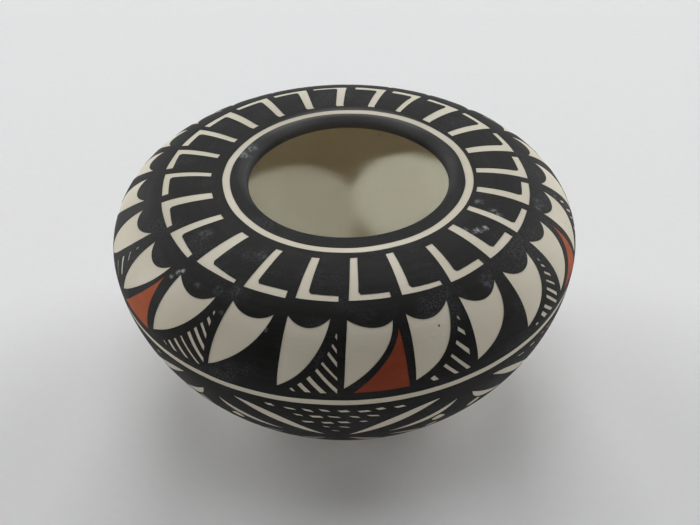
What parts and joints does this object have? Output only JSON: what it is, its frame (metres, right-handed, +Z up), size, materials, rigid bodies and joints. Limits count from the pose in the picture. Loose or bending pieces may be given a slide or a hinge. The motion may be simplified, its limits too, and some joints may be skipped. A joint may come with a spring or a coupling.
{
  "type": "seed pot",
  "caption": "Squat round clay seed pot with a small open mouth and rolled lip, flat foot, cream slip and black and rust painted bands; holds small dry goods.",
  "frame": {"origin": "centre of the flat foot, on the surface that the pot stands on", "axes": "+Z up along the pot's axis of revolution, -Y towards the front of the painted pattern, +X to the right"},
  "size_m": [0.116, 0.116, 0.0615],
  "materials": {
    "cream_slip": "matte fired clay with a cream slip, stone-polished before firing",
    "black_paint": "matte black mineral paint, brushed on",
    "rust_paint": "matte rust clay paint, brushed on"
  },
  "bodies": {
    "root": {"clay_vessel": "cream_slip", "lip_coat": "black_paint", "shoulder_net": "black_paint", "belly_band": "black_paint", "rust_fill_1": "rust_paint", "rust_fill_2": "rust_paint", "rust_fill_3": "rust_paint", "rust_fill_4": "rust_paint", "rust_fill_5": "rust_paint", "rust_fill_6": "rust_paint"}
  },
  "joints": []
}
